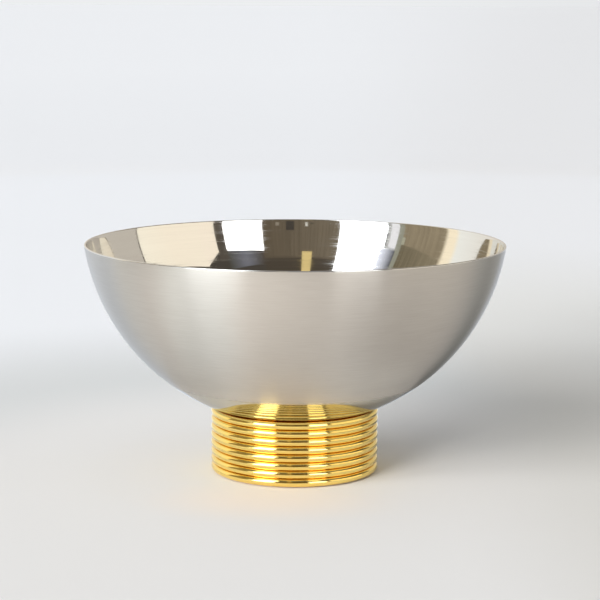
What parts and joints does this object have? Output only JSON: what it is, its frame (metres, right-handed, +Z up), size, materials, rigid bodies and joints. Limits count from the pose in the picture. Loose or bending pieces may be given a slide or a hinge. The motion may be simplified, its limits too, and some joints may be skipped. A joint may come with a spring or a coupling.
{
  "type": "baptismal font bowl",
  "caption": "Footed font bowl: a deep spherical cup of satin steel, mirror-polished inside, clamped on a cylindrical foot of stacked gold rings.",
  "frame": {"origin": "centre of the foot's underside, on the table", "axes": "+Z up along the bowl's axis of revolution, from the foot to the rim; X and Y are alike, and +Y points away from the viewer"},
  "size_m": [0.2598, 0.2598, 0.1432],
  "materials": {
    "bowl_steel": "stainless steel, satin-brushed round the outside, mirror-polished inside and on the rim",
    "ring_gold": "polished gold-plated brass",
    "turned_brass": "turned brass, fine concentric tool marks",
    "hidden_steel": "plain drawn steel, unpolished",
    "zinc_steel": "bright zinc-plated steel",
    "spring_steel": "blackened spring steel",
    "felt": "dense wool felt"
  },
  "bodies": {
    "root": {"bowl_shell": "bowl_steel", "stud_boss": "hidden_steel", "tie_stud": "zinc_steel", "foot_sleeve": "hidden_steel", "base_plate": "turned_brass", "flat_washer": "zinc_steel", "spring_washer": "spring_steel", "clamp_nut": "zinc_steel", "felt_pad": "felt", "foot_ring_1": "ring_gold", "foot_ring_2": "ring_gold", "foot_ring_3": "ring_gold", "foot_ring_4": "ring_gold", "foot_ring_5": "ring_gold", "foot_ring_6": "ring_gold", "foot_ring_7": "ring_gold", "foot_ring_8": "ring_gold"}
  },
  "joints": []
}
